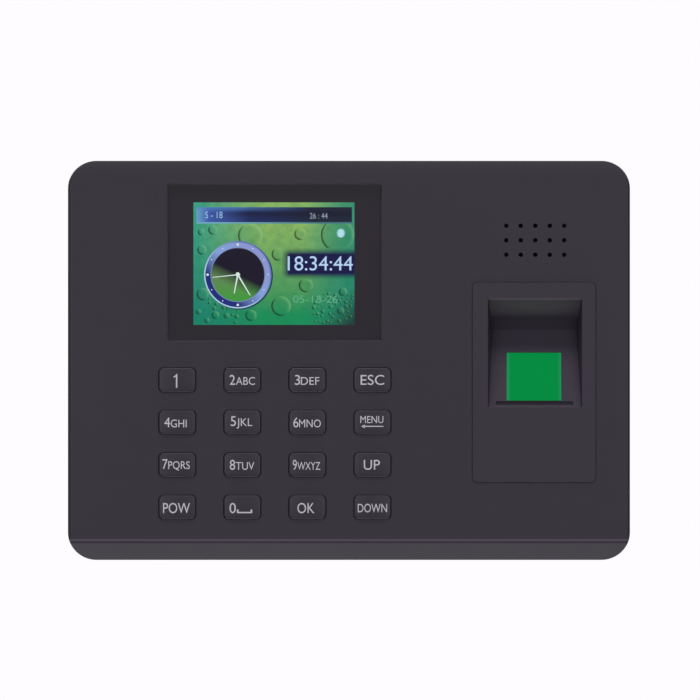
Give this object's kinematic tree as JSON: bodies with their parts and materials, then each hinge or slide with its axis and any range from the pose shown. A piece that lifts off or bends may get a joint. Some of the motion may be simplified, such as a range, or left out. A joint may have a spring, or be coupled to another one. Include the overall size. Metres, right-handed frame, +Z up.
{
  "type": "fingerprint scanner terminal",
  "caption": "Wall-mounted fingerprint terminal: dark flat case, glossy colour screen, number pad with printed keys, sound holes and a sunk finger pocket over green-lit glass.",
  "frame": {"origin": "centre of the wall plate's back face, on the wall plane, which is also the middle of the case seen from the front", "axes": "+X to the viewer's right along the case's long side, +Y into the wall, +Z up; the front faces -Y"},
  "size_m": [0.188, 0.0358, 0.1336],
  "materials": {
    "case_plastic": "fine moulded texture, satin, dark violet grey",
    "bezel_plastic": "fine moulded texture, satin, dark violet grey",
    "rear_plastic": "fine moulded texture, satin, dark grey",
    "key_plastic": "satin, dark grey, with printed light grey legends",
    "zinc_steel": "zinc plated sheet",
    "lens_clear": "polished clear acrylic",
    "mask_black": "black printed mask behind the lens",
    "bright_steel": "bright pressed steel",
    "picture": "lit colour picture",
    "white_plastic": "moulded white",
    "black_foam": "closed-cell foam",
    "amber_film": "polyimide film",
    "silicone_rubber": "matt silicone",
    "circuit_board": "green solder mask",
    "black_resin": "moulded black resin",
    "capacitor_can": "bare can",
    "ivory_plastic": "moulded ivory",
    "red_plastic": "moulded red",
    "speaker_metal": "dark plated steel",
    "paper_cone": "black film cone",
    "wire_sleeve": "wire insulation",
    "sensor_glass": "polished prism glass, lit green from behind",
    "green_lamp": "clear lamp, lit green",
    "grey_sleeve": "flat cable insulation",
    "screw_steel": "zinc plated"
  },
  "bodies": {
    "case": {"front_cover": "case_plastic", "sensor_bezel": "bezel_plastic", "rear_cover": "rear_plastic", "wall_plate": "zinc_steel", "screen_lens": "lens_clear", "lens_tape": "mask_black", "lcd_frame": "bright_steel", "lcd_panel": "picture", "lcd_backlight": "white_plastic", "lcd_foam": "black_foam", "lcd_flex": "amber_film", "keypad_mat": "silicone_rubber", "main_board": "circuit_board", "board_chips": "black_resin", "board_capacitors": "capacitor_can", "board_connectors": "ivory_plastic", "usb_port": "bright_steel", "usb_tongue": "white_plastic", "dc_jack": "black_resin", "dc_pin": "bright_steel", "reset_switch": "bright_steel", "battery_holder": "black_resin", "coin_cell": "bright_steel", "speaker_frame": "speaker_metal", "speaker_cone": "paper_cone", "speaker_gasket": "black_foam", "speaker_wires": "wire_sleeve", "sensor_prism": "sensor_glass", "sensor_housing": "black_resin", "sensor_board": "circuit_board", "sensor_lens": "black_resin", "sensor_lamps": "green_lamp", "sensor_connector": "ivory_plastic", "sensor_cable": "grey_sleeve", "case_screws": "screw_steel", "board_screws": "screw_steel", "bezel_screws": "screw_steel", "sensor_screws": "screw_steel", "lock_screw": "screw_steel"},
    "key_1": {"key_1": "key_plastic"},
    "key_2": {"key_2": "key_plastic"},
    "key_3": {"key_3": "key_plastic"},
    "key_esc": {"key_esc": "key_plastic"},
    "key_4": {"key_4": "key_plastic"},
    "key_5": {"key_5": "key_plastic"},
    "key_6": {"key_6": "key_plastic"},
    "key_menu": {"key_menu": "key_plastic"},
    "key_7": {"key_7": "key_plastic"},
    "key_8": {"key_8": "key_plastic"},
    "key_9": {"key_9": "key_plastic"},
    "key_up": {"key_up": "key_plastic"},
    "key_pow": {"key_pow": "key_plastic"},
    "key_0": {"key_0": "key_plastic"},
    "key_ok": {"key_ok": "key_plastic"},
    "key_down": {"key_down": "key_plastic"},
    "reset_plunger": {"reset_plunger": "red_plastic"}
  },
  "joints": [
    {"name": "key_1_press", "type": "slide", "parent": "case", "child": "key_1", "axis": [0, 1, 0], "range_m": [0, 0.0012], "stiffness_N_per_m": 800, "springref_m": -0.0006, "deforming": ["keypad_mat"]},
    {"name": "key_2_press", "type": "slide", "parent": "case", "child": "key_2", "axis": [0, 1, 0], "range_m": [0, 0.0012], "stiffness_N_per_m": 800, "springref_m": -0.0006, "deforming": ["keypad_mat"]},
    {"name": "key_3_press", "type": "slide", "parent": "case", "child": "key_3", "axis": [0, 1, 0], "range_m": [0, 0.0012], "stiffness_N_per_m": 800, "springref_m": -0.0006, "deforming": ["keypad_mat"]},
    {"name": "key_esc_press", "type": "slide", "parent": "case", "child": "key_esc", "axis": [0, 1, 0], "range_m": [0, 0.0012], "stiffness_N_per_m": 800, "springref_m": -0.0006, "deforming": ["keypad_mat"]},
    {"name": "key_4_press", "type": "slide", "parent": "case", "child": "key_4", "axis": [0, 1, 0], "range_m": [0, 0.0012], "stiffness_N_per_m": 800, "springref_m": -0.0006, "deforming": ["keypad_mat"]},
    {"name": "key_5_press", "type": "slide", "parent": "case", "child": "key_5", "axis": [0, 1, 0], "range_m": [0, 0.0012], "stiffness_N_per_m": 800, "springref_m": -0.0006, "deforming": ["keypad_mat"]},
    {"name": "key_6_press", "type": "slide", "parent": "case", "child": "key_6", "axis": [0, 1, 0], "range_m": [0, 0.0012], "stiffness_N_per_m": 800, "springref_m": -0.0006, "deforming": ["keypad_mat"]},
    {"name": "key_menu_press", "type": "slide", "parent": "case", "child": "key_menu", "axis": [0, 1, 0], "range_m": [0, 0.0012], "stiffness_N_per_m": 800, "springref_m": -0.0006, "deforming": ["keypad_mat"]},
    {"name": "key_7_press", "type": "slide", "parent": "case", "child": "key_7", "axis": [0, 1, 0], "range_m": [0, 0.0012], "stiffness_N_per_m": 800, "springref_m": -0.0006, "deforming": ["keypad_mat"]},
    {"name": "key_8_press", "type": "slide", "parent": "case", "child": "key_8", "axis": [0, 1, 0], "range_m": [0, 0.0012], "stiffness_N_per_m": 800, "springref_m": -0.0006, "deforming": ["keypad_mat"]},
    {"name": "key_9_press", "type": "slide", "parent": "case", "child": "key_9", "axis": [0, 1, 0], "range_m": [0, 0.0012], "stiffness_N_per_m": 800, "springref_m": -0.0006, "deforming": ["keypad_mat"]},
    {"name": "key_up_press", "type": "slide", "parent": "case", "child": "key_up", "axis": [0, 1, 0], "range_m": [0, 0.0012], "stiffness_N_per_m": 800, "springref_m": -0.0006, "deforming": ["keypad_mat"]},
    {"name": "key_pow_press", "type": "slide", "parent": "case", "child": "key_pow", "axis": [0, 1, 0], "range_m": [0, 0.0012], "stiffness_N_per_m": 800, "springref_m": -0.0006, "deforming": ["keypad_mat"]},
    {"name": "key_0_press", "type": "slide", "parent": "case", "child": "key_0", "axis": [0, 1, 0], "range_m": [0, 0.0012], "stiffness_N_per_m": 800, "springref_m": -0.0006, "deforming": ["keypad_mat"]},
    {"name": "key_ok_press", "type": "slide", "parent": "case", "child": "key_ok", "axis": [0, 1, 0], "range_m": [0, 0.0012], "stiffness_N_per_m": 800, "springref_m": -0.0006, "deforming": ["keypad_mat"]},
    {"name": "key_down_press", "type": "slide", "parent": "case", "child": "key_down", "axis": [0, 1, 0], "range_m": [0, 0.0012], "stiffness_N_per_m": 800, "springref_m": -0.0006, "deforming": ["keypad_mat"]},
    {"name": "reset_press", "type": "slide", "parent": "case", "child": "reset_plunger", "axis": [0, 0, 1], "range_m": [0, 0.00025], "stiffness_N_per_m": 2000, "springref_m": -0.0003}
  ]
}
